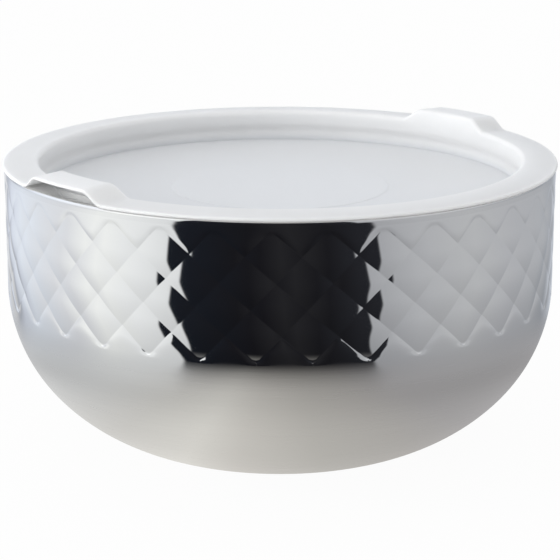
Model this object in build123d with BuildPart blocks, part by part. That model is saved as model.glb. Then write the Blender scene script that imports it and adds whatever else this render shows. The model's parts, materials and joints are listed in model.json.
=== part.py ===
"""Insulated stainless serving bowl with a quilted wall and a plug-in plastic lid.

Millimetres. Z is up, the origin is on the table under the bowl's centre, and the
lid's two lift tabs lie on the X axis. The bowl is two drawn steel shells that meet
at the rim, with an evacuated space between them.
"""
import math
import os

from build123d import *

# Bowl, outside
bowl_height = 132.8
wall_radius = 126.4
straight_wall = 55.0
shoulder_radius = 74.0
shoulder_angle = 43.0
foot_radius = 54.0
foot_width = 6.0
recess_depth = 3.0
shell_wall = 0.6

# Quilted band pressed into the outer shell
quilt_columns = 34
quilt_half_rows = 5
quilt_height = 56.0
quilt_depth = 0.7
plain_strip = 0.6

# Inner liner and the hem that joins it to the outer shell
wall_depth = 12.0
liner_wall = 0.6
rim_bend = 2.0
hem_drop = 3.6
hem_gap = 0.1

# Reflective foil around the liner
foil_thickness = 0.2
foil_gap = 0.2
foil_top_drop = 26.0

# Pump-out port, getter and base cover
port_radius = 2.5
bead_gap = 0.05
bead_cap_radius = 4.5
bead_cap_height = 0.9
bead_stand = 0.5
getter_radius = 6.0
getter_height = 3.0
getter_edge = 0.5
getter_offset = 26.0
clip_thickness = 0.4
clip_width = 5.0
clip_foot = 5.0
clip_gap = 0.2
cover_thickness = 0.6
cover_gap = 0.3
cover_lift = 0.4

# Lid
lid_overhang = 0.6
lid_thickness = 1.8
lid_edge_round = 0.7
lip_round = 0.9
corner_bevel = 1.5
plug_round = 1.2
plug_gap = 2.1
well_depth = 15.0
disc_radius = 50.0
disc_rise = 0.3
tab_length = 36.5
tab_ramp = 7.8
tab_rise = 5.2
tab_round = 1.5

# Lid seal
seal_height = 2.6
seal_drop = 5.6
seal_groove = 0.8
seal_fit = 0.1
seal_clearance = 0.3
seal_round = 0.8

# Bowl curve: straight wall, shoulder arc and a lower arc that ends on the foot
shoulder_z = bowl_height - straight_wall
shoulder_turn = math.radians(shoulder_angle)
shoulder_centre = Vector(wall_radius - shoulder_radius, shoulder_z)
inward = Vector(-math.cos(shoulder_turn), math.sin(shoulder_turn))
arc_join = shoulder_centre - inward * shoulder_radius
foot_chord = Vector(foot_radius, 0) - arc_join
lower_radius = foot_chord.length**2 / (2 * foot_chord.dot(inward))
lower_centre = arc_join + inward * lower_radius
foot_angle = math.degrees(math.atan2(lower_centre.Y, foot_radius - lower_centre.X))


def curve_end(inset):
    """Lower end of the bowl curve, moved into the wall by inset."""
    turn = math.radians(foot_angle)
    reach = lower_radius - inset
    return (lower_centre.X + reach * math.cos(turn), lower_centre.Y - reach * math.sin(turn))


def radius_at(height, inset):
    """Wall radius at a height on the straight wall or the shoulder."""
    drop = max(0.0, shoulder_z - height)
    return shoulder_centre.X + math.sqrt((shoulder_radius - inset) ** 2 - drop**2)


def bowl_curve(inset, top):
    """Draws the bowl curve from a height on the straight wall down to the foot."""
    Line((wall_radius - inset, top), (wall_radius - inset, shoulder_z))
    bowl_arcs(inset, 0)


def bowl_arcs(inset, start_angle):
    """Draws the shoulder, from an angle below the horizontal, and the lower arc."""
    CenterArc(shoulder_centre, shoulder_radius - inset, -start_angle, start_angle - shoulder_angle)
    CenterArc(lower_centre, lower_radius - inset, -shoulder_angle, shoulder_angle - foot_angle)


# Heights and radii that several pieces share
hem_z = bowl_height - hem_drop
quilt_top = hem_z - plain_strip
quilt_bottom = quilt_top - quilt_height
quilt_row = quilt_height / quilt_half_rows
recess_radius = foot_radius - foot_width
floor_top = recess_depth + shell_wall
collar_radius = wall_radius - liner_wall - hem_gap
liner_radius = wall_radius - wall_depth
plug_radius = liner_radius - plug_gap
well_radius = plug_radius - lid_thickness
lid_radius = wall_radius + lid_overhang
lid_top = bowl_height + lid_thickness
plug_bottom = bowl_height - well_depth
panel_top = plug_bottom + lid_thickness


def quilt_node(row, half_step, inset):
    """Crossing of two creases. Creases run out to the plain wall at both ends of the band."""
    height = quilt_top - row * quilt_row
    pressed = quilt_depth if 0 < row < quilt_half_rows else 0.0
    return quilt_point(half_step, inset + pressed, height)


def quilt_point(half_step, inset, height):
    """Point of the wall at a half step round the lattice; a crease ends on the X axis."""
    angle = math.pi * (half_step + quilt_half_rows) / quilt_columns
    radius = radius_at(height, inset)
    return Vector(radius * math.cos(angle), radius * math.sin(angle), height)


def pillow(row, inset):
    """One diamond between four creases, crowned up to the plain wall."""
    top = quilt_node(row - 1, row - 1, inset)
    bottom = quilt_node(row + 1, row - 1, inset)
    left = quilt_node(row, row - 2, inset)
    right = quilt_node(row, row, inset)
    crown = quilt_point(row - 1, inset, quilt_top - row * quilt_row)
    corners = top + left + bottom + right
    # The middle control point of a biquadratic patch weighs a quarter at its crown
    middle = crown * 4 - corners * 0.75
    return Face.make_bezier_surface(
        [
            [top, (top + left) / 2, left],
            [(top + right) / 2, middle, (left + bottom) / 2],
            [right, (right + bottom) / 2, bottom],
        ]
    )


def band_edge_arc(row, inset):
    """Arc of the band's top or bottom edge between two crease ends."""
    height = quilt_top - row * quilt_row
    ends = [quilt_node(row, half_step, inset) for half_step in (row - 2, row)]
    return Edge.make_three_point_arc(ends[0], quilt_point(row - 1, inset, height), ends[1])


def edge_triangle(row, next_row, inset):
    """Half diamond between the band's edge and the first crossing inside it."""
    arc = band_edge_arc(row, inset)
    tip = quilt_node(next_row, row - 1, inset)
    return Face.make_surface([arc, Edge.make_line(arc @ 1, tip), Edge.make_line(tip, arc @ 0)])


def around(shape):
    """Copies of a shape, one for each column of diamonds."""
    return [shape.rotate(Axis.Z, 360 * column / quilt_columns) for column in range(quilt_columns)]


def quilted_skin(inset):
    """All the faces of one side of the quilted band."""
    faces = []
    for row in range(1, quilt_half_rows):
        faces += around(pillow(row, inset))
    faces += around(edge_triangle(0, 1, inset))
    faces += around(edge_triangle(quilt_half_rows, quilt_half_rows - 1, inset))
    return faces


def band_end(row):
    """Flat ring that closes the quilted band at its top or bottom."""
    loops = [Wire(around(band_edge_arc(row, inset))) for inset in (0, shell_wall)]
    return Face(loops[0], [loops[1]])


# Outer shell: plain lower bowl, quilted band, and a joggled collar under the hem
quilted_band = Solid(
    Shell(
        quilted_skin(0)
        + quilted_skin(shell_wall)
        + [band_end(0), band_end(quilt_half_rows)]
    )
)


def turn_to(height, inset):
    """Angle below the horizontal at which the shoulder arc passes a height."""
    return math.degrees(math.asin(max(0.0, shoulder_z - height) / (shoulder_radius - inset)))


with BuildPart() as outer_shell:
    with BuildSketch(Plane.XZ):
        with BuildLine():
            for inset in (0, shell_wall):
                bowl_arcs(inset, turn_to(quilt_bottom, inset))
            Line(
                (radius_at(quilt_bottom, 0), quilt_bottom),
                (radius_at(quilt_bottom, shell_wall), quilt_bottom),
            )
            Polyline(
                curve_end(0),
                (recess_radius, 0),
                (recess_radius, recess_depth),
                (port_radius, recess_depth),
                (port_radius, floor_top),
                (recess_radius + shell_wall, floor_top),
                (recess_radius + shell_wall, curve_end(shell_wall)[1]),
                curve_end(shell_wall),
            )
        make_face()
    revolve(axis=Axis.Z)
    add(quilted_band)
    with BuildSketch(Plane.XZ):
        with BuildLine():
            Polyline(
                (wall_radius, quilt_top),
                (wall_radius, hem_z),
                (collar_radius, hem_z),
                (collar_radius, bowl_height - rim_bend),
                (collar_radius - shell_wall, bowl_height - rim_bend),
                (collar_radius - shell_wall, quilt_top),
                close=True,
            )
        make_face()
    revolve(axis=Axis.Z)

# Inner liner: drawn bowl whose flange forms the rim and hems over the outer shell
liner_outside = wall_depth - liner_wall
with BuildPart() as inner_liner:
    with BuildSketch(Plane.XZ):
        with BuildLine():
            for inset, bend in ((wall_depth, rim_bend), (liner_outside, rim_bend - liner_wall)):
                bowl_curve(inset, bowl_height - rim_bend)
                Line(curve_end(inset), (0, curve_end(inset)[1]))
                CenterArc((liner_radius + rim_bend, bowl_height - rim_bend), bend, 180, -90)
                CenterArc((wall_radius - rim_bend, bowl_height - rim_bend), bend, 90, -90)
                flange_z = bowl_height - rim_bend + bend
                Line((liner_radius + rim_bend, flange_z), (wall_radius - rim_bend, flange_z))
                skirt_radius = wall_radius - rim_bend + bend
                Line((skirt_radius, bowl_height - rim_bend), (skirt_radius, hem_z))
            Line((0, curve_end(wall_depth)[1]), (0, curve_end(liner_outside)[1]))
            Line((wall_radius, hem_z), (wall_radius - liner_wall, hem_z))
        make_face()
    revolve(axis=Axis.Z)

# Reflective foil wrapped around the liner inside the evacuated space
foil_inner = liner_outside - foil_gap
foil_outer = foil_inner - foil_thickness
foil_top = bowl_height - foil_top_drop
with BuildPart() as reflective_foil:
    with BuildSketch(Plane.XZ):
        with BuildLine():
            for inset in (foil_inner, foil_outer):
                bowl_curve(inset, foil_top)
                Line(curve_end(inset), (0, curve_end(inset)[1]))
            Line((wall_radius - foil_inner, foil_top), (wall_radius - foil_outer, foil_top))
            Line((0, curve_end(foil_inner)[1]), (0, curve_end(foil_outer)[1]))
        make_face()
    revolve(axis=Axis.Z)

# Glass bead that closes the pump-out port from below
with BuildPart() as vacuum_seal:
    with BuildSketch(Plane.XY.offset(recess_depth - bead_cap_height)):
        Circle(bead_cap_radius)
    extrude(amount=bead_cap_height)
    with BuildSketch(Plane.XY.offset(recess_depth)):
        Circle(port_radius - bead_gap)
    extrude(amount=shell_wall + bead_stand)

# Getter pill on the floor of the evacuated space
with BuildPart() as getter:
    with BuildSketch(Plane.XY.offset(floor_top)):
        with Locations((getter_offset, 0)):
            Circle(getter_radius)
    extrude(amount=getter_height)
    chamfer(getter.edges().filter_by(GeomType.CIRCLE).sort_by(Axis.Z)[-1], getter_edge)

# Strap that is spot welded over the getter
clip_inside = getter_radius + clip_gap
clip_outside = clip_inside + clip_thickness
clip_top = floor_top + getter_height
with BuildPart() as getter_clip:
    with BuildSketch(Plane.YZ.offset(getter_offset - clip_width / 2)):
        with BuildLine() as half_strap:
            Polyline(
                (0, clip_top),
                (clip_inside, clip_top),
                (clip_inside, floor_top),
                (clip_outside + clip_foot, floor_top),
                (clip_outside + clip_foot, floor_top + clip_thickness),
                (clip_outside, floor_top + clip_thickness),
                (clip_outside, clip_top + clip_thickness),
                (0, clip_top + clip_thickness),
            )
            mirror(half_strap.line, about=Plane.YZ)
        make_face()
    extrude(amount=clip_width)

# Pressed cup that hides the port, seated in the recess of the foot
cover_radius = recess_radius - cover_gap
with BuildPart() as base_cover:
    with BuildSketch(Plane.XY.offset(cover_lift)):
        Circle(cover_radius)
    extrude(amount=recess_depth - cover_lift)
    with BuildSketch(Plane.XY.offset(cover_lift + cover_thickness)):
        Circle(cover_radius - cover_thickness)
    extrude(amount=recess_depth, mode=Mode.SUBTRACT)

# Lid panel: sunk disc that closes the plug, with a shallow disc raised in its middle
with BuildPart() as lid_panel:
    with BuildSketch(Plane.XZ) as panel_section:
        with BuildLine():
            Polyline(
                (0, plug_bottom),
                (plug_radius, plug_bottom),
                (plug_radius, panel_top),
                (disc_radius, panel_top),
                (disc_radius, panel_top + disc_rise),
                (0, panel_top + disc_rise),
                close=True,
            )
        make_face()
        plug_edge = panel_section.vertices().group_by(Axis.X)[-1]
        fillet(plug_edge.sort_by(Axis.Y)[0], plug_round)
    revolve(axis=Axis.Z)

# Lid rim: plug wall that stands on the panel, and a flat flange that rests on the bowl
half_top = tab_length / 2
half_base = half_top + tab_ramp
seal_top = bowl_height - seal_drop
seal_bottom = seal_top - seal_height
groove_radius = plug_radius - seal_groove
with BuildPart() as lid_rim:
    with BuildSketch(Plane.XZ) as rim_section:
        with BuildLine():
            Polyline(
                (plug_radius, panel_top),
                (plug_radius, seal_bottom),
                (groove_radius, seal_bottom),
                (groove_radius, seal_top),
                (plug_radius, seal_top),
                (plug_radius, bowl_height),
                (lid_radius, bowl_height),
                (lid_radius, lid_top),
                (well_radius, lid_top),
                (well_radius, panel_top + corner_bevel),
                (well_radius - corner_bevel, panel_top),
                close=True,
            )
        make_face()
        flange_corners = rim_section.vertices().group_by(Axis.Y)[-1]
        fillet(flange_corners.sort_by(Axis.X)[-1], lid_edge_round)
        flange_corners = rim_section.vertices().group_by(Axis.Y)[-1]
        fillet(flange_corners.sort_by(Axis.X)[0], lip_round)
    revolve(axis=Axis.Z)
    with BuildSketch(Plane.XY.offset(bowl_height)):
        Rectangle(2 * lid_radius, 2 * half_base)
    extrude(amount=lid_thickness, mode=Mode.SUBTRACT)

# Finger gap under a lift tab, from the plug's wall out past the lid's edge
finger_reach = lid_radius + lid_overhang
with BuildPart() as finger_gap:
    with BuildSketch(Plane.YZ) as gap_side:
        Polygon(
            (-half_base, bowl_height),
            (half_base, bowl_height),
            (half_top, bowl_height + tab_rise),
            (-half_top, bowl_height + tab_rise),
            align=None,
        )
        fillet(gap_side.vertices().group_by(Axis.Y)[-1], tab_round)
    extrude(amount=finger_reach)
    with BuildSketch(Plane.XY.offset(bowl_height)):
        Circle(finger_reach)
        Circle(plug_radius, mode=Mode.SUBTRACT)
    extrude(amount=tab_rise, mode=Mode.INTERSECT)

# Lift tabs: arched stretches of the flange, open to the outside for fingertips
with BuildPart() as lift_tab_right:
    with BuildSketch(Plane.YZ) as tab_side:
        Polygon(
            (-half_base, bowl_height),
            (half_base, bowl_height),
            (half_base, lid_top),
            (half_top, lid_top + tab_rise),
            (-half_top, lid_top + tab_rise),
            (-half_base, lid_top),
            align=None,
        )
        fillet(tab_side.vertices().group_by(Axis.Y)[-1], tab_round)
    extrude(amount=lid_radius)
    with BuildSketch(Plane.XY.offset(bowl_height)):
        Circle(lid_radius)
        Circle(well_radius, mode=Mode.SUBTRACT)
    extrude(amount=lid_thickness + tab_rise, mode=Mode.INTERSECT)
    add(finger_gap, mode=Mode.SUBTRACT)

with BuildPart() as lift_tab_left:
    mirror(lift_tab_right.part, about=Plane.YZ)

# Silicone ring in the plug's groove
with BuildPart() as lid_seal:
    with BuildSketch(Plane.XZ) as seal_section:
        with BuildLine():
            Polyline(
                (groove_radius + seal_fit, seal_bottom + seal_fit),
                (liner_radius - seal_clearance, seal_bottom + seal_fit),
                (liner_radius - seal_clearance, seal_top - seal_fit),
                (groove_radius + seal_fit, seal_top - seal_fit),
                close=True,
            )
        make_face()
        fillet(seal_section.vertices().group_by(Axis.X)[-1], seal_round)
    revolve(axis=Axis.Z)

pieces = {
    "outer_shell": outer_shell,
    "inner_liner": inner_liner,
    "reflective_foil": reflective_foil,
    "vacuum_seal": vacuum_seal,
    "getter": getter,
    "getter_clip": getter_clip,
    "base_cover": base_cover,
    "lid_panel": lid_panel,
    "lid_rim": lid_rim,
    "lift_tab_right": lift_tab_right,
    "lift_tab_left": lift_tab_left,
    "lid_seal": lid_seal,
}
os.makedirs("parts", exist_ok=True)
for name, piece in pieces.items():
    piece.part.label = name
    export_step(piece.part, f"parts/{name}.step")
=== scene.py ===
"""Insulated steel serving bowl with a quilted wall and a plug-in plastic lid.

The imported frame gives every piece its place. Each piece that shows gets a finely curved
mesh and a finish here, and a white studio with a camera is set up round them.
Lengths are in metres. Z is up, and the lid's two lift tabs lie on the X axis.
"""

import json
import math

import bmesh
import bpy
from bpy.props import FloatProperty, FloatVectorProperty, IntProperty, PointerProperty
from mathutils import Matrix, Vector


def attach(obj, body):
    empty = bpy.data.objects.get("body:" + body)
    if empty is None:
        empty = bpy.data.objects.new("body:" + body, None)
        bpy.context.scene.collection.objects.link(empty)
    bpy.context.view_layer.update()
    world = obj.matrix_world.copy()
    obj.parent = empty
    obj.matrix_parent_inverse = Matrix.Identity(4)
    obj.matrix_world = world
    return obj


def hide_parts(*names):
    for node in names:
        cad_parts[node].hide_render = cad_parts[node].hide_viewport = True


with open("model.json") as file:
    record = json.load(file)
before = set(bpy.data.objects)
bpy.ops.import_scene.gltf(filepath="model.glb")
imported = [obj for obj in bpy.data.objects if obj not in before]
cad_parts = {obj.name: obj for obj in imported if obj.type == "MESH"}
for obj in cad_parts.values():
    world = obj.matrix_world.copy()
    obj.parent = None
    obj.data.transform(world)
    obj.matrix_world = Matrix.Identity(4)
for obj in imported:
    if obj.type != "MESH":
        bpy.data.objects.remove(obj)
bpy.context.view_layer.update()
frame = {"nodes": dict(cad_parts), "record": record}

bl_info = {
    "name": "Quilted Serving Bowl",
    "version": (1, 0, 0),
    "blender": (4, 5, 0),
    "location": "View3D > Sidebar > Bowl",
    "description": "Dresses the insulated bowl and its lid and sets up a white studio",
    "category": "Object",
}

slot_colours = {
    material["slot"]: material["base_color"][:3] for material in frame["record"]["materials"]
}


def length(name, description, default):
    """A size in metres that a user can change."""
    return FloatProperty(
        name=name, description=description, default=default, unit="LENGTH", precision=5
    )


def colour(name, description, default):
    """A colour that a user can change."""
    return FloatVectorProperty(
        name=name, description=description, default=default, subtype="COLOR", min=0, max=1
    )


def amount(name, description, default, unit="NONE"):
    """A plain number that a user can change."""
    return FloatProperty(name=name, description=description, default=default, unit=unit)


def share(name, description, default):
    """A number from 0 to 1 that a user can change."""
    return FloatProperty(
        name=name, description=description, default=default, subtype="FACTOR", min=0, max=1
    )


def angle(name, description, degrees):
    """An angle that a user can change."""
    return FloatProperty(
        name=name, description=description, default=math.radians(degrees), unit="ROTATION"
    )


class BowlSizes(bpy.types.PropertyGroup):
    """Sizes of the two drawn shells and the base cover."""

    height: length("Height", "Table to rim", 0.1328)
    wall_radius: length("Wall radius", "Outside of the straight wall", 0.1264)
    straight_wall: length("Straight wall", "Depth of the straight wall below the rim", 0.055)
    shoulder_radius: length("Shoulder radius", "Upper arc of the bowl curve", 0.074)
    shoulder_angle: angle("Shoulder angle", "Turn of the upper arc", 43)
    foot_radius: length("Foot radius", "Outside of the foot ring", 0.054)
    foot_width: length("Foot width", "Flat of the foot ring", 0.006)
    recess_depth: length("Recess depth", "Height of the recess in the foot", 0.003)
    sheet: length("Sheet", "Thickness of the steel", 0.0006)
    wall_depth: length("Wall depth", "Outside of the shell to inside of the liner", 0.012)
    rim_bend: length("Rim bend", "Outer bend of the rim", 0.002)
    hem_drop: length("Hem drop", "Rim down to the edge of the hem", 0.0036)
    hem_gap: length("Hem gap", "Clearance between hem and collar", 0.0001)
    port_radius: length("Port radius", "Pump-out port in the base", 0.0025)
    cover_gap: length("Cover gap", "Clearance round the base cover", 0.0003)
    cover_lift: length("Cover lift", "Base cover above the table", 0.0004)
    cover_bend: length("Cover bend", "Pressed corner of the base cover", 0.0012)


class QuiltSizes(bpy.types.PropertyGroup):
    """Sizes of the diamonds pressed into the outer shell."""

    columns: IntProperty(name="Columns", description="Diamonds round the bowl", default=34)
    half_rows: IntProperty(name="Half rows", description="Half diamonds down the band", default=5)
    height: length("Height", "Height of the quilted band", 0.056)
    lean: angle("Lean", "Turn of the lattice from the top of the band to its bottom", 2.6)
    depth: length("Depth", "How deep the crossings of the creases are pressed", 0.00055)
    plain_strip: length("Plain strip", "Plain wall between hem and diamonds", 0.0006)
    top_fade: length("Top fade", "Run-out of the creases under the hem", 0.0032)
    bottom_fade: length("Bottom fade", "Run-out of the creases at the lower points", 0.0004)
    crown: amount("Crown", "How full the pillows are", 2.0)
    edge_crown: amount("Edge crown", "How flat the half diamonds along the band's edges are", 5.0)
    steps: IntProperty(name="Steps", description="Mesh steps across a diamond", default=12)


class LidSizes(bpy.types.PropertyGroup):
    """Sizes of the lid and its seal."""

    overhang: length("Overhang", "Lid edge past the wall", 0.0006)
    thickness: length("Thickness", "Wall of the moulding", 0.0018)
    edge_round: length("Edge round", "Outer edge of the flange", 0.001)
    edge_fall: length("Edge fall", "Fall of the flange's top towards its edge", 0.0008)
    edge_drop: length("Edge drop", "Lip of the flange below the rim's top", 0.0003)
    edge_wall: length("Edge wall", "Thickness of that lip", 0.0005)
    edge_draw: share("Edge draw", "How much of that lip a lift tab takes up", 0.9)
    lip_round: length("Lip round", "Edge of the well", 0.0022)
    corner_round: length("Corner round", "Bottom corner of the well", 0.0008)
    plug_gap: length("Plug gap", "Plug wall to liner", 0.0021)
    well_depth: length("Well depth", "Rim down to the underside of the panel", 0.015)
    disc_radius: length("Disc radius", "Shallow raised disc of the panel", 0.05)
    disc_rise: length("Disc rise", "Height of the shallow disc", 0.0003)
    tab_length: length("Tab length", "Flat top of a lift tab", 0.0365)
    tab_ramp: length("Tab ramp", "Run of each end of a lift tab", 0.0078)
    tab_rise: length("Tab rise", "Height of a lift tab over the flange", 0.0052)
    tab_soft: length("Tab softness", "Rounding of the lift tab's corners", 0.0014)
    seal_height: length("Seal height", "Height of the seal's groove", 0.0026)
    seal_drop: length("Seal drop", "Rim down to the seal", 0.0056)
    seal_groove: length("Seal groove", "Depth of the groove in the plug", 0.0008)
    seal_fit: length("Seal fit", "Clearance of the seal in its groove", 0.0001)
    seal_clearance: length("Seal clearance", "Seal to liner", 0.0003)
    seal_notch: length("Seal notch", "Depth of the notch between the seal's lips", 0.0006)


class FinishColours(bpy.types.PropertyGroup):
    """Colours and polish of the pieces."""

    outer_steel: colour("Outer steel", "Outer shell", slot_colours["outer_steel"])
    liner_steel: colour("Liner steel", "Inner liner", slot_colours["liner_steel"])
    cover_steel: colour("Cover steel", "Base cover", slot_colours["cover_steel"])
    lid_plastic: colour("Lid plastic", "Lid moulding", slot_colours["lid_plastic"])
    # Painted shade: a greyer colour for the lid's panel and low walls, standing in for the dark
    # bowl seen through the thin plastic
    painted_panel_shade: colour("Thin plastic", "Lid panel over the hollow bowl", (0.74, 0.76, 0.79))
    seal_silicone: colour("Seal silicone", "Lid seal", slot_colours["seal_silicone"])
    foil: colour("Foil", "Reflective foil", slot_colours["foil"])
    getter_metal: colour("Getter metal", "Getter pill", slot_colours["getter_metal"])
    clip_steel: colour("Clip steel", "Getter strap", slot_colours["clip_steel"])
    seal_glass: colour("Seal glass", "Bead in the port", slot_colours["seal_glass"])
    mirror_polish: share("Mirror polish", "Roughness of the quilted band", 0.045)
    rim_polish: share("Rim polish", "Roughness of the rim", 0.07)
    satin_polish: share("Satin polish", "Roughness of the lower bowl", 0.25)
    inside_polish: share("Inside polish", "Roughness of the inside of the bowl", 0.26)
    satin_top: length("Satin top", "Height where the satin finish starts to show", 0.073)
    satin_full: length("Satin full", "Height below which the finish is all satin", 0.064)
    rim_start: length("Rim start", "Height where the polished rim starts to show", 0.1255)
    rim_full: length("Rim full", "Height above which the rim is all polished", 0.1285)
    # Heights of that painted shade: below the first the lid takes the painted grey, above the
    # second its plain colour
    painted_shade_full: length("Thin full", "Height below which the lid looks all thin", 0.1195)
    painted_shade_top: length("Thin top", "Height above which the lid looks milky", 0.124)


class StudioSettings(bpy.types.PropertyGroup):
    """Camera and light of the white studio."""

    bearing: angle("Camera bearing", "Camera round the bowl from the front", -41.9)
    reach: length("Camera reach", "Camera to the bowl's axis along the table", 0.9131)
    camera_height: length("Camera height", "Camera above the table", 0.3203)
    aim_height: length("Aim height", "Point of the axis in the middle of the frame", 0.0742)
    lens: amount("Lens", "Focal length in millimetres", 129.66, "CAMERA")
    side_power: amount("Side power", "Soft light on the left", 8.0, "POWER")
    front_power: amount("Front power", "Soft light on the left in front", 4.5, "POWER")
    light_size: length("Light size", "Width of both soft lights", 0.6)
    ambient: share("Ambient", "Even light from all round", 0.86)
    dark_left: angle("Dark left", "Left edge of the dark front of the studio", -43)
    dark_right: angle("Dark right", "Right edge of the dark front of the studio", 32.5)
    table_fade: length("Table fade", "Where the mirrored table starts to show the screens", 0.153)
    table_end: length("Table end", "Where the mirrored table shows only the screens", 0.285)
    table_radius: length("Table radius", "Reach of the white table", 4.0)
    table_drop: length("Table drop", "Gap between the foot and the table", 0.0002)
    table_white: share("Table white", "How much of the table is plain white", 0.955)


# Finishes

# Lines of a fine and a broad brush: how close they lie, and how they break up round the axis
FINE_BRUSH = (5000, 5)
BROAD_BRUSH = (900, 2.5)
# How far light scatters in the lid's plastic
SCATTER_REACH = 0.005
# Edges that turn by more than this stay sharp
SHARP_ANGLE = math.radians(42)


class Signal:
    """A shader socket that can stand in a Python expression."""

    def __init__(self, sheet, socket):
        self.sheet = sheet
        self.socket = socket

    def math(self, operation, *terms):
        """A Math node that starts with this signal."""
        return self.sheet.math(operation, self, *terms)

    def __add__(self, other):
        return self.math("ADD", other)

    __radd__ = __add__

    def __sub__(self, other):
        return self.math("SUBTRACT", other)

    def __rsub__(self, other):
        return self.sheet.math("SUBTRACT", other, self)

    def __mul__(self, other):
        return self.math("MULTIPLY", other)

    __rmul__ = __mul__

    def __truediv__(self, other):
        return self.math("DIVIDE", other)

    def __rtruediv__(self, other):
        return self.sheet.math("DIVIDE", other, self)


class NodeSheet:
    """Builds the nodes of one material or of the world."""

    def __init__(self, tree):
        self.tree = tree
        tree.nodes.clear()

    def node(self, kind, settings=None, inputs=None, output=0):
        """Adds a node, sets it up, feeds its sockets and returns one of its outputs."""
        made = self.tree.nodes.new(kind)
        for name, value in (settings or {}).items():
            if name == "stops":
                set_stops(made.color_ramp.elements, value)
            else:
                setattr(made, name, value)
        for key, value in (inputs or {}).items():
            if isinstance(value, Signal):
                self.tree.links.new(value.socket, made.inputs[key])
            else:
                made.inputs[key].default_value = value
        return Signal(self, made.outputs[output]) if made.outputs else None

    def math(self, operation, *terms):
        """A Math node."""
        return self.node("ShaderNodeMath", {"operation": operation}, dict(enumerate(terms)))

    def ramp(self, value, start, end):
        """A smooth step from 0 at start to 1 at end."""
        return self.node(
            "ShaderNodeMapRange",
            {"interpolation_type": "SMOOTHSTEP"},
            {"Value": value, "From Min": start, "From Max": end},
        )

    def mix(self, factor, first, second):
        """A blend of two colours."""
        return self.node(
            "ShaderNodeMix", {"data_type": "RGBA"}, {0: factor, 6: rgba(first), 7: rgba(second)}, 2
        )

    def scaled(self, shade, factor):
        """A colour made brighter or darker."""
        return self.node("ShaderNodeVectorMath", {"operation": "SCALE"}, {0: shade, 3: factor})

    def mix_shader(self, factor, first, second):
        """A blend of two shaders."""
        return self.node("ShaderNodeMixShader", None, {0: factor, 1: first, 2: second})

    def noise(self, scale, detail, vector):
        """Noise values about one half."""
        return self.node(
            "ShaderNodeTexNoise", None, {"Vector": vector, "Scale": scale, "Detail": detail}
        )

    def split(self, vector):
        """The three parts of a vector."""
        parts = self.node("ShaderNodeSeparateXYZ", None, {0: vector})
        return [Signal(self, socket) for socket in parts.socket.node.outputs]

    def join(self, x, y, z):
        """A vector from three values."""
        return self.node("ShaderNodeCombineXYZ", None, {0: x, 1: y, 2: z})


def set_stops(elements, stops):
    """Places the colours of a ramp in rising order."""
    while len(elements) < len(stops):
        elements.new(1.0)
    for element, (position, shade) in zip(elements, stops):
        element.position = position
        element.color = rgba(shade)


def rgba(value):
    """A colour with alpha, or a signal as it is."""
    return value if isinstance(value, Signal) else (*value, 1.0)


def toned(shade, factor):
    """A plain colour made darker."""
    return [factor * value for value in shade]


class Finish(NodeSheet):
    """One surface material with its own coordinates."""

    def __init__(self, name):
        self.material = bpy.data.materials.new(name)
        self.material.use_nodes = True
        super().__init__(self.material.node_tree)
        self.place = self.node("ShaderNodeTexCoord", output="Object")
        self.x, self.y, self.z = self.split(self.place)
        self.radius = (self.x * self.x + self.y * self.y).math("SQRT")

    def bump(self, height, distance):
        """A normal bent by a height in the given scale."""
        return self.node(
            "ShaderNodeBump", None, {"Strength": 1.0, "Distance": distance, "Height": height}
        )

    def turned_lines(self, fineness, streak):
        """Lines that run round the axis, as a brush or a spinning tool leaves them."""
        centre_r, centre_z, bend = 0.047, 0.082, 0.08
        travel = (self.z - centre_z).math("ARCTAN2", self.radius - centre_r) * bend
        around_x = self.x / self.radius * streak
        around_y = self.y / self.radius * streak
        return self.noise(1.0, 2.0, self.join(travel * fineness, around_x, around_y))

    def surface(self, **inputs):
        """Finishes the material with a Principled shader; names use _ for spaces."""
        sockets = {name.replace("_", " "): value for name, value in inputs.items()}
        shader = self.node("ShaderNodeBsdfPrincipled", None, sockets)
        self.node("ShaderNodeOutputMaterial", None, {"Surface": shader})
        return self.material


def outer_steel(finish):
    """Mirror polish on the quilted band that turns to brushed satin below it."""
    sheet = Finish("outer_steel")
    satin = 1 - sheet.ramp(sheet.z, finish.satin_full, finish.satin_top)
    fine = sheet.turned_lines(*FINE_BRUSH)
    broad = sheet.turned_lines(*BROAD_BRUSH)
    polish = sheet.noise(60, 3, sheet.place)
    mirror = finish.mirror_polish + 0.02 * polish
    brushed = finish.satin_polish + 0.1 * (fine - 0.5) + 0.06 * (broad - 0.5)
    tint = toned(finish.outer_steel, 0.97)
    return sheet.surface(
        Base_Color=sheet.mix(broad * satin, finish.outer_steel, tint),
        Metallic=1.0,
        Roughness=mirror * (1 - satin) + brushed * satin,
        Normal=sheet.bump((fine + 0.5 * broad) * satin, 0.00001),
    )


def liner_steel(finish):
    """Brushed inside with a polished rim."""
    sheet = Finish("liner_steel")
    polished = sheet.ramp(sheet.z, finish.rim_start, finish.rim_full)
    fine = sheet.turned_lines(*FINE_BRUSH)
    broad = sheet.turned_lines(*BROAD_BRUSH)
    brushed = finish.inside_polish + 0.1 * (fine - 0.5)
    tint = toned(finish.liner_steel, 0.96)
    return sheet.surface(
        Base_Color=sheet.mix(broad, finish.liner_steel, tint),
        Metallic=1.0,
        Roughness=finish.rim_polish * polished + brushed * (1 - polished),
        Normal=sheet.bump((fine + 0.5 * broad) * (1 - polished), 0.00001),
    )


def cover_steel(finish):
    """Spun satin cup with rings round its centre."""
    sheet = Finish("cover_steel")
    rings = sheet.noise(1.0, 2.0, sheet.join(sheet.radius * 3500, sheet.x * 30, sheet.y * 30))
    tint = toned(finish.cover_steel, 0.94)
    return sheet.surface(
        Base_Color=sheet.mix(rings, finish.cover_steel, tint),
        Metallic=1.0,
        Roughness=0.27 + 0.12 * rings,
        Normal=sheet.bump(rings, 0.00002),
    )


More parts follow.
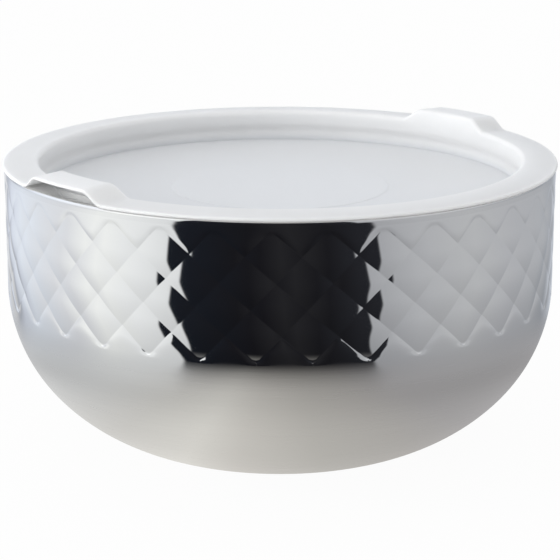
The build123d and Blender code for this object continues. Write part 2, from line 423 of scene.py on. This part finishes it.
def lid_plastic(finish):
    """Soft white moulding that lets a little light through, greyer low down with painted shade."""
    sheet = Finish("lid_plastic")
    cloud = sheet.noise(35, 3, sheet.place)
    grain = sheet.noise(2600, 2, sheet.place)
    shade = toned(finish.lid_plastic, 0.96)
    # Painted shade: below the rim's level the lid is greyer, standing in for the dark bowl seen
    # through the thin panel
    painted_shade_mask = 1 - sheet.ramp(sheet.z, finish.painted_shade_full, finish.painted_shade_top)
    milky = sheet.mix(cloud, finish.lid_plastic, shade)
    return sheet.surface(
        Base_Color=sheet.mix(painted_shade_mask, milky, finish.painted_panel_shade),
        Roughness=0.36 + 0.08 * cloud,
        Subsurface_Weight=0.8,
        Subsurface_Radius=(SCATTER_REACH,) * 3,
        Subsurface_Scale=1.0,
        Specular_IOR_Level=0.4,
        Normal=sheet.bump(grain, 0.000015),
    )


def seal_silicone(finish):
    """Soft matt silicone with fine dust."""
    sheet = Finish("seal_silicone")
    dust = sheet.noise(900, 3, sheet.place)
    shade = toned(finish.seal_silicone, 0.9)
    return sheet.surface(
        Base_Color=sheet.mix(dust, finish.seal_silicone, shade),
        Roughness=0.55 + 0.1 * dust,
        Normal=sheet.bump(dust, 0.00002),
    )


def crinkled_foil(finish):
    """Bright foil with wrapped creases."""
    sheet = Finish("crinkled_foil")
    crease = sheet.node(
        "ShaderNodeTexVoronoi",
        {"feature": "DISTANCE_TO_EDGE"},
        {"Vector": sheet.place, "Scale": 90.0},
    )
    cloud = sheet.noise(140, 4, sheet.place)
    shade = toned(finish.foil, 0.9)
    return sheet.surface(
        Base_Color=sheet.mix(cloud, finish.foil, shade),
        Metallic=1.0,
        Roughness=0.16 + 0.1 * cloud,
        Normal=sheet.bump(crease + 0.3 * cloud, 0.0004),
    )


def sintered_metal(finish):
    """Grey pressed powder."""
    sheet = Finish("sintered_metal")
    grain = sheet.noise(5000, 4, sheet.place)
    shade = toned(finish.getter_metal, 0.65)
    return sheet.surface(
        Base_Color=sheet.mix(grain, shade, finish.getter_metal),
        Metallic=0.7,
        Roughness=0.6 + 0.2 * grain,
        Normal=sheet.bump(grain, 0.00008),
    )


def strip_steel(finish):
    """Rolled strip with lines along its length."""
    sheet = Finish("strip_steel")
    rolled = sheet.noise(1.0, 2.0, sheet.join(sheet.x * 4000, sheet.y * 60, sheet.z * 60))
    shade = toned(finish.clip_steel, 0.9)
    return sheet.surface(
        Base_Color=sheet.mix(rolled, finish.clip_steel, shade),
        Metallic=1.0,
        Roughness=0.3 + 0.12 * rolled,
        Normal=sheet.bump(rolled, 0.00001),
    )


def fused_glass(finish):
    """Dark sealing glass with small bubbles."""
    sheet = Finish("fused_glass")
    bubbles = sheet.noise(3000, 2, sheet.place)
    shade = toned(finish.seal_glass, 0.7)
    return sheet.surface(
        Base_Color=sheet.mix(bubbles, finish.seal_glass, shade),
        Roughness=0.08 + 0.1 * bubbles,
        Normal=sheet.bump(bubbles, 0.00003),
    )


# Shapes


def arc(centre, radius, start, end, steps):
    """Points (radius, height) along an arc."""
    turns = [start + (end - start) * step / steps for step in range(steps + 1)]
    return [
        (centre[0] + radius * math.cos(turn), centre[1] + radius * math.sin(turn))
        for turn in turns
    ]


def rounded(corners, steps=6):
    """Section through corners (radius, height, bend), each bent to its own radius."""
    section = []
    for index, (radius, height, bend) in enumerate(corners):
        here = Vector((radius, height))
        if bend == 0:
            section.append((radius, height))
            continue
        before = (Vector(corners[index - 1][:2]) - here).normalized()
        after = (Vector(corners[(index + 1) % len(corners)][:2]) - here).normalized()
        half = before.angle(after) / 2
        centre = here + (before + after).normalized() * bend / math.sin(half)
        start = here + before * bend / math.tan(half) - centre
        sweep = start.angle_signed(here + after * bend / math.tan(half) - centre)
        first = math.atan2(start.y, start.x)
        section += arc(centre, bend, first, first - sweep, steps)
    return section


def ring_angles(count):
    """Even angles round the axis."""
    return [2 * math.pi * step / count for step in range(count)]


def turned_rings(mesh, section, angles):
    """Rings of vertices for a section; a point on the axis is one vertex."""
    rings = []
    for radius, height in section:
        turns = angles if radius > 0 else [0.0]
        rings.append(
            [mesh.verts.new((radius * math.cos(a), radius * math.sin(a), height)) for a in turns]
        )
    return rings


def skin_rings(mesh, rings):
    """Faces between each ring and the next."""
    for low, high in zip(rings, rings[1:]):
        for step in range(max(len(low), len(high))):
            corners = [
                low[step % len(low)],
                low[(step + 1) % len(low)],
                high[(step + 1) % len(high)],
                high[step % len(high)],
            ]
            mesh.faces.new(list(dict.fromkeys(corners)))


def make_piece(name, mesh, material, slot, body, *nodes):
    """Turns a mesh into a finished piece that stands for CAD nodes and rides a body."""
    bmesh.ops.recalc_face_normals(mesh, faces=mesh.faces)
    data = bpy.data.meshes.new(name)
    mesh.to_mesh(data)
    mesh.free()
    data.shade_smooth()
    data.set_sharp_from_angle(angle=SHARP_ANGLE)
    data.materials.append(material)
    piece = bpy.data.objects.new(name, data)
    bpy.context.scene.collection.objects.link(piece)
    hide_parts(*nodes)
    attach(piece, body)


class BowlCurve:
    """The drawn curve of the bowl: straight wall, shoulder arc and lower arc."""

    def __init__(self, bowl):
        self.bowl = bowl
        self.shoulder = Vector(
            (bowl.wall_radius - bowl.shoulder_radius, bowl.height - bowl.straight_wall)
        )
        inward = Vector((-math.cos(bowl.shoulder_angle), math.sin(bowl.shoulder_angle)))
        joint = self.shoulder - inward * bowl.shoulder_radius
        chord = Vector((bowl.foot_radius, 0)) - joint
        self.lower_radius = chord.length_squared / (2 * chord.dot(inward))
        self.lower = joint + inward * self.lower_radius
        self.foot_angle = math.atan2(self.lower.y, bowl.foot_radius - self.lower.x)

    def radius(self, height, inset):
        """Wall radius at a height on the straight wall or the shoulder."""
        drop = max(0.0, self.shoulder.y - height)
        return self.shoulder.x + math.sqrt((self.bowl.shoulder_radius - inset) ** 2 - drop**2)

    def belly(self, inset, top, steps=48):
        """Section from a height on the shoulder down to the foot."""
        reach = self.bowl.shoulder_radius - inset
        start = math.asin(max(0.0, self.shoulder.y - top) / reach)
        turn = self.bowl.shoulder_angle
        upper = arc(self.shoulder, reach, -start, -turn, steps)
        reach = self.lower_radius - inset
        return upper + arc(self.lower, reach, -turn, -self.foot_angle, steps * 2 // 3)[1:]


class Quilt:
    """Lattice of pillow diamonds; its two axes follow the two directions of crease."""

    def __init__(self, bowl, quilt):
        self.quilt = quilt
        self.curve = BowlCurve(bowl)
        self.top = bowl.height - bowl.hem_drop - quilt.plain_strip
        self.bottom = self.top - quilt.height
        self.row_height = quilt.height / quilt.half_rows
        self.around = quilt.columns * quilt.steps
        self.down = quilt.half_rows * quilt.steps

    def crossing(self, index):
        """Crease number and place across the diamond, with samples close to the creases."""
        crease, step = divmod(index, self.quilt.steps)
        return crease, (1 - math.cos(math.pi * step / self.quilt.steps)) / 2

    def angle(self, first, second):
        """Angle round the axis of a lattice place."""
        quilt = self.quilt
        first_place, second_place = sum(self.crossing(first)), sum(self.crossing(second))
        turn = math.pi * (first_place + second_place + quilt.half_rows) / quilt.columns
        return turn + quilt.lean * ((first_place - second_place) / quilt.half_rows - 0.5)

    def point(self, first, second, inset):
        """Point of the pressed wall at a lattice place."""
        quilt = self.quilt
        first_crease, first_across = self.crossing(first)
        second_crease, second_across = self.crossing(second)
        cell = first_crease - second_crease
        height = self.top - (cell + first_across - second_across) * self.row_height
        crown = quilt.crown if 0 < cell < quilt.half_rows else quilt.edge_crown
        u, v = abs(2 * first_across - 1), abs(2 * second_across - 1)
        pressed = (u**crown * (1 + v * v) + v**crown * (1 + u * u)) / 2 - (u * v) ** crown
        fade = soft_step((self.top - height) / quilt.top_fade)
        fade *= soft_step((height - self.bottom) / quilt.bottom_fade)
        radius = self.curve.radius(height, inset + quilt.depth * fade * pressed)
        turn = self.angle(first, second)
        return radius * math.cos(turn), radius * math.sin(turn), height

    def skin(self, mesh, inset):
        """Faces of one side of the quilted band; returns its top and bottom rings."""
        verts = {}
        for first in range(self.around):
            for second in range(first - self.down, first + 1):
                verts[first, second] = mesh.verts.new(self.point(first, second, inset))
        for first, second in list(verts):
            corners = [(0, 0), (1, 0), (1, 1), (0, 1)]
            places = [(first + step, second + side) for step, side in corners]
            inside = [place for place in places if 0 <= place[0] - place[1] <= self.down]
            mesh.faces.new([verts[self.wrapped(*place)] for place in inside])
        top = [verts[step, step] for step in range(self.around)]
        bottom = [verts[step, step - self.down] for step in range(self.around)]
        return top, bottom

    def wrapped(self, first, second):
        """Lattice place brought back to the first turn."""
        turn = self.around if first >= self.around else 0
        return first - turn, second - turn


def soft_step(value):
    """Smooth rise from 0 to 1."""
    value = min(1.0, max(0.0, value))
    return value * value * (3 - 2 * value)


def soft_min(first, second, blend):
    """The smaller of two values, rounded where they cross."""
    mixed = max(0.0, blend - abs(first - second)) / blend
    return min(first, second) - mixed * mixed * blend / 4


class LidLayout:
    """Radii and heights that the lid and its seal share."""

    def __init__(self, bowl, lid):
        self.seat = bowl.height
        self.liner = bowl.wall_radius - bowl.wall_depth
        self.plug = self.liner - lid.plug_gap
        self.well = self.plug - lid.thickness
        self.edge = bowl.wall_radius + lid.overhang
        self.top = bowl.height + lid.thickness
        self.bottom = bowl.height - lid.well_depth
        self.panel = self.bottom + lid.thickness
        self.seal_top = bowl.height - lid.seal_drop
        self.seal_bottom = self.seal_top - lid.seal_height
        self.groove = self.plug - lid.seal_groove

    def lift(self, lid, across):
        """Rise of the flange at a distance to the side of a tab's middle."""
        slope = lid.tab_rise / lid.tab_ramp
        ramp = (lid.tab_length / 2 + lid.tab_ramp - abs(across)) * slope
        return max(0.0, soft_min(lid.tab_rise, -soft_min(0.0, -ramp, lid.tab_soft), lid.tab_soft))


def lid_angles():
    """Angles round the lid, close together at the two tabs."""
    fine, coarse, tab_reach = 0.4, 1.25, 16
    fine_steps = round(tab_reach / fine)
    coarse_steps = math.ceil((180 - 2 * tab_reach) / coarse)
    near = [math.radians(step * fine) for step in range(-fine_steps, fine_steps)]
    far = [math.radians(tab_reach + step * coarse) for step in range(coarse_steps)]
    half = near + far
    return half + [turn + math.pi for turn in half]


# Operators


class PieceOperator:
    """What the operators of this file share."""

    bl_options = {"REGISTER", "UNDO"}

    def execute(self, context):
        self.make(context.scene)
        return {"FINISHED"}


class BOWL_OT_outer_shell(PieceOperator, bpy.types.Operator):
    """Make the outer shell with its quilted band"""

    bl_idname = "bowl.outer_shell"
    bl_label = "Outer shell"

    def make(self, scene):
        bowl, quilt = scene.bowl_sizes, Quilt(scene.bowl_sizes, scene.quilt_sizes)
        mesh = bmesh.new()
        outer_top, outer_bottom = quilt.skin(mesh, 0)
        inner_top, inner_bottom = quilt.skin(mesh, bowl.sheet)
        hem_z = bowl.height - bowl.hem_drop
        collar = bowl.wall_radius - bowl.sheet - bowl.hem_gap
        collar_top = bowl.height - bowl.rim_bend
        shoulder = [
            (bowl.wall_radius, hem_z),
            (collar, hem_z),
            (collar, collar_top),
            (collar - bowl.sheet, collar_top),
            (collar - bowl.sheet, quilt.top),
        ]
        angles = [quilt.angle(step, step) for step in range(quilt.around)]
        skin_rings(mesh, [outer_top, *turned_rings(mesh, shoulder, angles), inner_top])
        recess = bowl.foot_radius - bowl.foot_width
        floor_top = bowl.recess_depth + bowl.sheet
        outside = quilt.curve.belly(0, quilt.bottom)
        inside = quilt.curve.belly(bowl.sheet, quilt.bottom, steps=12)
        base = [
            (recess + bowl.sheet, 0),
            (recess, bowl.sheet),
            (recess, bowl.recess_depth),
            (bowl.port_radius, bowl.recess_depth),
            (bowl.port_radius, floor_top),
            (recess + bowl.sheet, floor_top),
            (recess + bowl.sheet, inside[-1][1]),
        ]
        section = outside[1:] + base + inside[:0:-1]
        angles = [quilt.angle(step, step - quilt.down) for step in range(quilt.around)]
        skin_rings(mesh, [outer_bottom, *turned_rings(mesh, section, angles), inner_bottom])
        steel = outer_steel(scene.finish_colours)
        make_piece("quilted_shell", mesh, steel, "outer_steel", "bowl", "outer_shell")


class BOWL_OT_inner_liner(PieceOperator, bpy.types.Operator):
    """Make the inner liner with its rolled rim"""

    bl_idname = "bowl.inner_liner"
    bl_label = "Inner liner"

    def make(self, scene):
        bowl = scene.bowl_sizes
        curve = BowlCurve(bowl)
        bend, sheet = bowl.rim_bend, bowl.sheet
        liner = bowl.wall_radius - bowl.wall_depth
        spring = bowl.height - bend
        inner_bend = (liner + bend, spring)
        outer_bend = (bowl.wall_radius - bend, spring)
        quarter = math.pi / 2
        outer_steps, inner_steps = 10, 8
        inside = curve.belly(bowl.wall_depth, curve.shoulder.y)
        outside = curve.belly(bowl.wall_depth - sheet, curve.shoulder.y)
        hem_z = bowl.height - bowl.hem_drop
        section = [(0, inside[-1][1]), *reversed(inside)]
        section += arc(inner_bend, bend, 2 * quarter, quarter, outer_steps)
        section += arc(outer_bend, bend, quarter, 0, outer_steps)
        section += [(bowl.wall_radius, hem_z), (bowl.wall_radius - sheet, hem_z)]
        section += arc(outer_bend, bend - sheet, 0, quarter, inner_steps)
        section += arc(inner_bend, bend - sheet, quarter, 2 * quarter, inner_steps)
        section += [*outside, (0, outside[-1][1])]
        mesh = bmesh.new()
        skin_rings(mesh, turned_rings(mesh, section, ring_angles(360)))
        steel = liner_steel(scene.finish_colours)
        make_piece("drawn_liner", mesh, steel, "liner_steel", "bowl", "inner_liner")


class BOWL_OT_base_cover(PieceOperator, bpy.types.Operator):
    """Make the pressed cup in the foot's recess"""

    bl_idname = "bowl.base_cover"
    bl_label = "Base cover"

    def make(self, scene):
        bowl = scene.bowl_sizes
        radius = bowl.foot_radius - bowl.foot_width - bowl.cover_gap
        low, high = bowl.cover_lift, bowl.recess_depth
        inner_bend = bowl.cover_bend - bowl.sheet
        section = rounded(
            [
                (0, low, 0),
                (radius, low, bowl.cover_bend),
                (radius, high, 0),
                (radius - bowl.sheet, high, 0),
                (radius - bowl.sheet, low + bowl.sheet, inner_bend),
                (0, low + bowl.sheet, 0),
            ]
        )
        mesh = bmesh.new()
        skin_rings(mesh, turned_rings(mesh, section, ring_angles(180)))
        steel = cover_steel(scene.finish_colours)
        make_piece("pressed_cover", mesh, steel, "cover_steel", "bowl", "base_cover")


class BOWL_OT_vacuum_parts(PieceOperator, bpy.types.Operator):
    """Finish the pieces that are sealed between the shells"""

    bl_idname = "bowl.vacuum_parts"
    bl_label = "Vacuum parts"

    def make(self, scene):
        finishes = {
            "reflective_foil": crinkled_foil,
            "getter": sintered_metal,
            "getter_clip": strip_steel,
            "vacuum_seal": fused_glass,
        }
        for node, finish in finishes.items():
            materials = frame["nodes"][node].data.materials
            materials.clear()
            materials.append(finish(scene.finish_colours))


class BOWL_OT_lid(PieceOperator, bpy.types.Operator):
    """Make the lid with its sunk panel and two lift tabs"""

    bl_idname = "bowl.lid"
    bl_label = "Lid"

    def make(self, scene):
        lid = scene.lid_sizes
        layout = LidLayout(scene.bowl_sizes, lid)
        step = lid.disc_rise
        section = rounded(
            [
                (0, layout.panel + lid.disc_rise, 0),
                (lid.disc_radius - step, layout.panel + lid.disc_rise, step),
                (lid.disc_radius + step, layout.panel, step),
                (layout.well, layout.panel, lid.corner_round),
                (layout.well, layout.seat - lid.lip_round, 0),
                (layout.well, layout.top, lid.lip_round),
                (layout.edge, layout.top - lid.edge_fall, lid.edge_round),
                (layout.edge, layout.seat - lid.edge_drop, lid.edge_drop / 2),
                (layout.edge - lid.edge_wall, layout.seat - lid.edge_drop, 0),
                (layout.edge - lid.edge_wall, layout.seat, 0),
                (layout.plug, layout.seat, lid.edge_round / 2),
                (layout.plug, layout.seat - lid.lip_round, 0),
                (layout.plug, layout.seal_top, 0),
                (layout.groove, layout.seal_top, 0),
                (layout.groove, layout.seal_bottom, 0),
                (layout.plug, layout.seal_bottom, 0),
                (layout.plug, layout.bottom, lid.corner_round),
                (0, layout.bottom, 0),
            ]
        )
        mesh = bmesh.new()
        rings = turned_rings(mesh, section, lid_angles())
        skin_rings(mesh, rings)
        lowest = layout.seat - lid.edge_round
        for ring, (radius, height) in zip(rings, section):
            if height > lowest and radius > layout.well - lid.lip_round:
                for vert in ring:
                    rise = layout.lift(lid, vert.co.y)
                    below = max(0.0, layout.seat - height)
                    vert.co.z += rise + lid.edge_draw * below * rise / lid.tab_rise
        plastic = lid_plastic(scene.finish_colours)
        nodes = "lid_panel", "lid_rim", "lift_tab_right", "lift_tab_left"
        make_piece("moulded_lid", mesh, plastic, "lid_plastic", "lid", *nodes)


class BOWL_OT_lid_seal(PieceOperator, bpy.types.Operator):
    """Make the silicone ring with two soft lips"""

    bl_idname = "bowl.lid_seal"
    bl_label = "Lid seal"

    def make(self, scene):
        lid = scene.lid_sizes
        layout = LidLayout(scene.bowl_sizes, lid)
        inner, outer = layout.groove + lid.seal_fit, layout.liner - lid.seal_clearance
        low, high = layout.seal_bottom + lid.seal_fit, layout.seal_top - lid.seal_fit
        middle = (low + high) / 2
        notch = outer - lid.seal_notch
        section = rounded(
            [
                (inner, low, 0),
                (outer, low, lid.seal_notch / 2),
                (outer, middle - lid.seal_notch / 2, lid.seal_notch / 3),
                (notch, middle, lid.seal_notch / 3),
                (outer, middle + lid.seal_notch / 2, lid.seal_notch / 3),
                (outer, high, lid.seal_notch / 2),
                (inner, high, 0),
            ]
        )
        mesh = bmesh.new()
        rings = turned_rings(mesh, section, ring_angles(300))
        skin_rings(mesh, [*rings, rings[0]])
        silicone = seal_silicone(scene.finish_colours)
        make_piece("silicone_ring", mesh, silicone, "seal_silicone", "lid", "lid_seal")


# Stage

# Screens round the studio by degrees from the front, positive to the right
SCREENS = (
    (-180, (0.82, 0.87, 0.96)),
    (-158, (0.80, 0.81, 0.83)),
    (-150, (0.52, 0.55, 0.62)),
    (-142, (0.78, 0.83, 0.94)),
    (-128, (0.90, 0.96, 1.06)),
    (-95, (0.89, 0.91, 0.96)),
    (-76, (1.08, 1.10, 1.10)),
    (-60, (1.0, 1.02, 1.04)),
    (-44, (0.90, 0.92, 0.94)),
    (35, (0.46, 0.47, 0.50)),
    (52, (0.53, 0.54, 0.57)),
    (75, (0.57, 0.58, 0.605)),
    (100, (0.53, 0.54, 0.575)),
    (126, (0.49, 0.505, 0.54)),
    (142, (0.41, 0.43, 0.47)),
    (180, (0.82, 0.87, 0.96)),
)
# Dark front of the studio by the same degrees
DARK_FRONT = (
    (-45, (0.012, 0.015, 0.022)),
    (-14, (0.011, 0.011, 0.014)),
    (0, (0.021, 0.021, 0.024)),
    (14, (0.013, 0.013, 0.016)),
    (27, (0.020, 0.021, 0.026)),
    (45, (0.015, 0.016, 0.022)),
)
# Painted reflection: shades the table glows with for mirror rays only, standing in for the white
# table as satin steel mirrors it, by metres to the right of the bowl's axis
TABLE = (
    (-0.3, (0.44, 0.465, 0.51)),
    (-0.14, (0.64, 0.645, 0.65)),
    (-0.085, (0.63, 0.62, 0.60)),
    (-0.045, (0.72, 0.705, 0.67)),
    (-0.02, (0.60, 0.58, 0.55)),
    (0.02, (0.49, 0.475, 0.45)),
    (0.06, (0.44, 0.425, 0.41)),
    (0.1, (0.39, 0.38, 0.385)),
    (0.3, (0.36, 0.36, 0.38)),
)
# Width of the table that those places span
TABLE_SPAN = 0.6


class BOWL_OT_stage(PieceOperator, bpy.types.Operator):
    """Set up the white table, the soft lights and the camera"""

    bl_idname = "bowl.stage"
    bl_label = "Stage"

    def make(self, scene):
        studio = scene.studio_settings
        scene.view_settings.view_transform = "Standard"
        self.toward = Vector((math.sin(studio.bearing), -math.cos(studio.bearing), 0))
        self.right = Vector((math.cos(studio.bearing), math.sin(studio.bearing), 0))
        self.make_world(scene, studio)
        self.make_table(scene, studio)
        side = self.place(ahead=0.2, right=-1.4, up=0.32)
        self.make_lamp(scene, "side_light", side, studio.light_size, studio.side_power)
        front = self.place(ahead=1.0, right=-1.0, up=0.26)
        self.make_lamp(scene, "front_light", front, studio.light_size, studio.front_power)
        self.make_camera(scene, studio)

    def place(self, ahead, right, up):
        """A place seen from the bowl: towards the front, to the right and up."""
        return self.toward * ahead + self.right * right + Vector((0, 0, up))

    def by_bearing(self, sheet, turns, shades):
        """Colours placed by degrees from the front."""
        stops = [((degrees + 180) / 360, shade) for degrees, shade in shades]
        return sheet.node("ShaderNodeValToRGB", {"stops": stops}, {0: turns + 0.5})

    def screens(self, sheet, studio, x, y, spread, turn):
        """Screens round the bowl as polished steel mirrors them."""
        side = x * self.right.x + y * self.right.y
        ahead = x * self.toward.x + y * self.toward.y
        bearing = (side.math("ARCTAN2", ahead) + turn) / spread
        turns = bearing / (2 * math.pi)
        white = self.by_bearing(sheet, turns, SCREENS)
        dark = self.by_bearing(sheet, turns, DARK_FRONT)
        soft = math.radians(1.0)
        after_left = sheet.ramp(bearing, studio.dark_left - soft, studio.dark_left + soft)
        after_right = sheet.ramp(bearing, studio.dark_right - soft, studio.dark_right + soft)
        return sheet.mix(after_left * (1 - after_right), white, dark)

    def make_world(self, scene, studio):
        """White all round for the camera, even light, and screens for polished steel."""
        world = bpy.data.worlds.new("white_studio")
        world.use_nodes = True
        scene.world = world
        sheet = NodeSheet(world.node_tree)
        ray = sheet.node("ShaderNodeLightPath", output="Is Camera Ray")
        mirror_ray = sheet.node("ShaderNodeLightPath", output="Is Glossy Ray")
        x, y, z = sheet.split(sheet.node("ShaderNodeTexCoord", output="Generated"))
        spread, turn, ceiling = 0.92, 0.0, (0.9, 0.9, 0.9)
        around = self.screens(sheet, studio, x, y, spread, turn)
        brighter_above = 1 + 0.4 * sheet.ramp(z, 0.0, 0.5)
        overhead = sheet.ramp(z, 0.93, 0.99)
        mirrored = sheet.mix(overhead, sheet.scaled(around, brighter_above), ceiling)
        lit = sheet.mix(mirror_ray, (studio.ambient,) * 3, mirrored)
        shown = sheet.mix(ray, lit, (1, 1, 1))
        glow = sheet.node("ShaderNodeBackground", None, {"Color": shown, "Strength": 1.0})
        sheet.node("ShaderNodeOutputWorld", None, {"Surface": glow})

    def painted_near_table_glow(self, sheet):
        """Painted reflection glow of the table close to the bowl, as satin steel mirrors it, with
        a painted darker ring a little way out.
        """
        side = sheet.x * self.right.x + sheet.y * self.right.y
        stops = [(place / TABLE_SPAN + 0.5, shade) for place, shade in TABLE]
        across = sheet.node("ShaderNodeValToRGB", {"stops": stops}, {0: side / TABLE_SPAN + 0.5})
        # Painted shade: a darker ring in the glow a little way out from the foot
        painted_dip = 0.34 * sheet.ramp(sheet.radius, 0.11, 0.19)
        lift = 0.24 * sheet.ramp(sheet.radius, 0.15, 0.2)
        return sheet.scaled(across, 1.26 + lift - painted_dip)

    def painted_far_table_glow(self, sheet, studio):
        """Painted reflection glow of the table further out: the screens painted into it for
        polished steel to mirror.
        """
        spread = 0.8 + 0.17 * sheet.ramp(sheet.radius, 0.27, 0.5)
        turn = 0.025 * sheet.ramp(sheet.radius, 0.24, 0.4) - 0.072
        around = self.screens(sheet, studio, sheet.x, sheet.y, spread, turn)
        brighter_away = 0.8 + 0.28 * sheet.ramp(sheet.radius, 0.2, 0.55)
        return sheet.scaled(around, brighter_away)

    def table_finish(self, studio):
        """White paper from above that glows with painted reflection shades for mirror rays, and
        clear from below.
        """
        sheet = Finish("white_table")
        ray = sheet.node("ShaderNodeLightPath", output="Is Camera Ray")
        mirror_ray = sheet.node("ShaderNodeLightPath", output="Is Glossy Ray")
        below = sheet.node("ShaderNodeNewGeometry", output="Backfacing")
        cloud = sheet.noise(6, 2, sheet.place)
        paper = sheet.mix(cloud, (0.86, 0.86, 0.86), (0.84, 0.84, 0.84))
        matt = sheet.node("ShaderNodeBsdfDiffuse", None, {"Color": paper})
        white = sheet.node("ShaderNodeEmission", None, {"Color": (1, 1, 1, 1), "Strength": 1.0})
        seen = sheet.mix_shader(studio.table_white, matt, white)
        past = sheet.ramp(sheet.radius, studio.table_fade, studio.table_end)
        shade = sheet.mix(past, self.painted_near_table_glow(sheet), self.painted_far_table_glow(sheet, studio))
        # Painted reflection: the table glows with these shades to mirror rays only
        mirrored = sheet.node("ShaderNodeEmission", None, {"Color": shade, "Strength": 1.0})
        shown = sheet.mix_shader(mirror_ray, sheet.mix_shader(ray, matt, seen), mirrored)
        clear = sheet.node("ShaderNodeBsdfTransparent")
        surface = sheet.mix_shader(below, shown, clear)
        sheet.node("ShaderNodeOutputMaterial", None, {"Surface": surface})
        return sheet.material

    def make_table(self, scene, studio):
        """Round white table under the bowl."""
        mesh = bmesh.new()
        bmesh.ops.create_circle(mesh, cap_ends=True, segments=128, radius=studio.table_radius)
        data = bpy.data.meshes.new("table")
        mesh.to_mesh(data)
        mesh.free()
        data.materials.append(self.table_finish(studio))
        table = bpy.data.objects.new("table", data)
        table.location.z = -studio.table_drop
        scene.collection.objects.link(table)

    def make_lamp(self, scene, name, place, size, power):
        """Round soft light that looks at the bowl and that steel doesn't mirror."""
        lamp = bpy.data.lights.new(name, "AREA")
        lamp.shape = "DISK"
        lamp.size = size
        lamp.energy = power
        light = bpy.data.objects.new(name, lamp)
        light.location = place
        light.rotation_euler = (-place).to_track_quat("-Z", "Y").to_euler()
        light.visible_glossy = False
        scene.collection.objects.link(light)

    def make_camera(self, scene, studio):
        """Camera that looks at the bowl's axis."""
        data = bpy.data.cameras.new("camera")
        data.sensor_width = 36.0
        data.lens = studio.lens
        camera = bpy.data.objects.new("camera", data)
        camera.location = self.place(studio.reach, 0, studio.camera_height)
        aim = Vector((0, 0, studio.aim_height)) - camera.location
        camera.rotation_euler = aim.to_track_quat("-Z", "Y").to_euler()
        scene.collection.objects.link(camera)
        scene.camera = camera


class BOWL_PT_pieces(bpy.types.Panel):
    """Lists the pieces of the bowl and the stage"""

    bl_label = "Serving bowl"
    bl_idname = "BOWL_PT_pieces"
    bl_space_type = "VIEW_3D"
    bl_region_type = "UI"
    bl_category = "Bowl"

    def draw(self, context):
        for operator in OPERATORS:
            self.layout.operator(operator.bl_idname)
        for name, group in GROUPS.items():
            box = self.layout.box()
            for key in group.__annotations__:
                box.prop(getattr(context.scene, name), key)


GROUPS = {
    "bowl_sizes": BowlSizes,
    "quilt_sizes": QuiltSizes,
    "lid_sizes": LidSizes,
    "finish_colours": FinishColours,
    "studio_settings": StudioSettings,
}
OPERATORS = (
    BOWL_OT_outer_shell,
    BOWL_OT_inner_liner,
    BOWL_OT_base_cover,
    BOWL_OT_vacuum_parts,
    BOWL_OT_lid,
    BOWL_OT_lid_seal,
    BOWL_OT_stage,
)


def register():
    for item in (*GROUPS.values(), *OPERATORS, BOWL_PT_pieces):
        bpy.utils.register_class(item)
    for name, group in GROUPS.items():
        setattr(bpy.types.Scene, name, PointerProperty(type=group))


def unregister():
    for name in GROUPS:
        delattr(bpy.types.Scene, name)
    for item in reversed((*GROUPS.values(), *OPERATORS, BOWL_PT_pieces)):
        bpy.utils.unregister_class(item)


def main():
    register()
    bpy.ops.bowl.outer_shell()
    bpy.ops.bowl.inner_liner()
    bpy.ops.bowl.base_cover()
    bpy.ops.bowl.vacuum_parts()
    bpy.ops.bowl.lid()
    bpy.ops.bowl.lid_seal()
    bpy.ops.bowl.stage()


if __name__ == "__main__":
    main()
